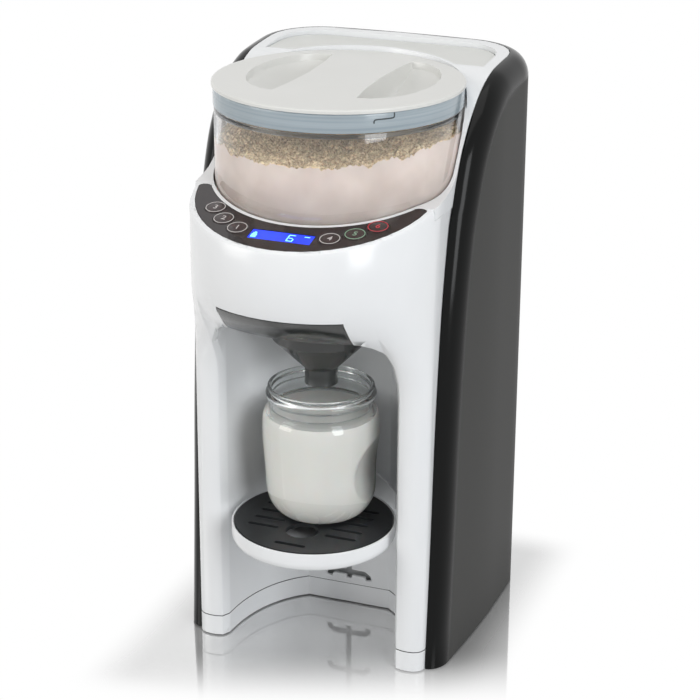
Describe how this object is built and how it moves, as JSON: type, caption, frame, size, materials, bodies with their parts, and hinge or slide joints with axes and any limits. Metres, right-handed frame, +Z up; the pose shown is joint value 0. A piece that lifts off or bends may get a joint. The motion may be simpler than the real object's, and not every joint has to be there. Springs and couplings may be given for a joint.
{
  "type": "baby formula maker",
  "caption": "Countertop baby formula maker: white head over a bottle bay, clear powder container with turning lid, dark wrap shell, rear water tank, button panel and lowering bottle stand.",
  "frame": {"origin": "centre of the bounding box's underside, where the rubber feet rest on the worktop", "axes": "+Z up, -Y towards the user and out of the bottle bay, +X to the right seen from the front"},
  "size_m": [0.1866, 0.2426, 0.373],
  "materials": {
    "white_gloss": "gloss white ABS",
    "white_satin": "satin white polypropylene",
    "pale_grey": "satin pale warm grey",
    "charcoal": "satin charcoal",
    "panel_black": "gloss near-black",
    "display_blue": "lit blue display",
    "button_dark": "dark brown-black, ringed",
    "clear_plastic": "clear gloss",
    "collar_grey": "translucent grey-blue",
    "smoke_grey": "translucent smoke grey",
    "grate_black": "satin near-black",
    "clear_glass": "clear glass",
    "works_grey": "matt mid grey",
    "motor_steel": "plated steel",
    "gear_white": "natural acetal",
    "seal_rubber": "matt dark grey",
    "silicone": "milky silicone",
    "powder_tan": "loose milk powder, cream to tan",
    "board_green": "green circuit board",
    "screw_steel": "zinc-plated steel"
  },
  "bodies": {
    "machine": {"front_housing": "white_gloss", "base_tray": "white_gloss", "foot_1": "seal_rubber", "foot_2": "seal_rubber", "foot_3": "seal_rubber", "foot_4": "seal_rubber", "base_screw_1": "screw_steel", "base_screw_2": "screw_steel", "base_screw_3": "screw_steel", "base_screw_4": "screw_steel", "outer_shell": "charcoal", "top_deck": "white_gloss", "panel_fascia": "panel_black", "lcd_display": "display_blue", "control_board": "board_green", "chassis": "works_grey", "container_cradle": "white_satin", "powder_chute": "white_satin", "drive_motor": "motor_steel", "tank_seat": "works_grey", "seat_seal": "seal_rubber", "water_pump": "works_grey", "pump_mount": "seal_rubber", "heater": "motor_steel", "water_spout": "white_satin", "suction_tube": "silicone", "pressure_tube": "silicone", "hot_tube": "silicone", "main_board": "board_green", "power_inlet": "panel_black"},
    "container": {"container_body": "clear_plastic", "container_floor": "white_satin", "container_base": "white_satin", "powder_fill": "powder_tan"},
    "collar": {"lid_collar": "collar_grey"},
    "lid": {"container_lid": "white_gloss", "lid_gasket": "silicone"},
    "dosing_wheel": {"metering_wheel": "gear_white", "stirrer": "gear_white"},
    "pinion": {"motor_pinion": "gear_white"},
    "funnel_unit": {"funnel": "smoke_grey", "funnel_cover": "smoke_grey"},
    "bottle_stand": {"stand_dish": "white_gloss", "stand_bracket": "white_gloss", "drip_grate": "grate_black"},
    "bottle": {"bottle_glass": "clear_glass"},
    "tank": {"water_tank": "clear_plastic", "tank_valve": "white_satin"},
    "tank_flap": {"tank_lid": "pale_grey"},
    "press_left_1": {"button_left_1": "button_dark"},
    "press_left_2": {"button_left_2": "button_dark"},
    "press_left_3": {"button_left_3": "button_dark"},
    "press_right_1": {"button_right_1": "button_dark"},
    "press_right_2": {"button_right_2": "button_dark"},
    "press_right_3": {"button_right_3": "button_dark"}
  },
  "joints": [
    {"name": "container_lift", "type": "slide", "parent": "machine", "child": "container", "axis": [0, 0, 1], "range_m": [0, 0.06]},
    {"name": "collar_turn", "type": "hinge", "parent": "container", "child": "collar", "pos_m": [0, -0.00965, 0.3549], "axis": [0, 0, 1], "range_deg": [0, 25]},
    {"name": "lid_lift", "type": "slide", "parent": "collar", "child": "lid", "axis": [0, 0, 1], "range_m": [0, 0.05]},
    {"name": "dosing_wheel_spin", "type": "hinge", "parent": "container", "child": "dosing_wheel", "pos_m": [0, -0.00965, 0.2612], "axis": [0, 0, 1], "continuous": true},
    {"name": "pinion_spin", "type": "hinge", "parent": "machine", "child": "pinion", "pos_m": [0, 0.04555, 0.2592], "axis": [0, 0, 1], "continuous": true},
    {"name": "funnel_slide", "type": "slide", "parent": "machine", "child": "funnel_unit", "axis": [0, -1, 0], "range_m": [0, 0.07]},
    {"name": "stand_height", "type": "slide", "parent": "machine", "child": "bottle_stand", "axis": [0, 0, 1], "range_m": [-0.06, 0]},
    {"name": "bottle_slide", "type": "slide", "parent": "bottle_stand", "child": "bottle", "axis": [0, -1, 0], "range_m": [0, 0.11]},
    {"name": "tank_lift", "type": "slide", "parent": "machine", "child": "tank", "axis": [0, 0, 1], "range_m": [0, 0.1]},
    {"name": "tank_lid_hinge", "type": "hinge", "parent": "tank", "child": "tank_flap", "pos_m": [0, 0.09995, 0.3706], "axis": [-1, 0, 0], "range_deg": [0, 90]},
    {"name": "button_left_1_press", "type": "slide", "parent": "machine", "child": "press_left_1", "axis": [0, -0.2149, 0.9766], "range_m": [-0.0008, 0], "stiffness_N_per_m": 1500, "springref_m": 0.0003},
    {"name": "button_left_2_press", "type": "slide", "parent": "machine", "child": "press_left_2", "axis": [0, -0.2149, 0.9766], "range_m": [-0.0008, 0], "stiffness_N_per_m": 1500, "springref_m": 0.0003},
    {"name": "button_left_3_press", "type": "slide", "parent": "machine", "child": "press_left_3", "axis": [0, -0.2149, 0.9766], "range_m": [-0.0008, 0], "stiffness_N_per_m": 1500, "springref_m": 0.0003},
    {"name": "button_right_1_press", "type": "slide", "parent": "machine", "child": "press_right_1", "axis": [0, -0.2149, 0.9766], "range_m": [-0.0008, 0], "stiffness_N_per_m": 1500, "springref_m": 0.0003},
    {"name": "button_right_2_press", "type": "slide", "parent": "machine", "child": "press_right_2", "axis": [0, -0.2149, 0.9766], "range_m": [-0.0008, 0], "stiffness_N_per_m": 1500, "springref_m": 0.0003},
    {"name": "button_right_3_press", "type": "slide", "parent": "machine", "child": "press_right_3", "axis": [0, -0.2149, 0.9766], "range_m": [-0.0008, 0], "stiffness_N_per_m": 1500, "springref_m": 0.0003}
  ],
  "couplings": [
    {"joint": "pinion_spin", "follows": "dosing_wheel_spin", "ratio": -5.1111}
  ]
}
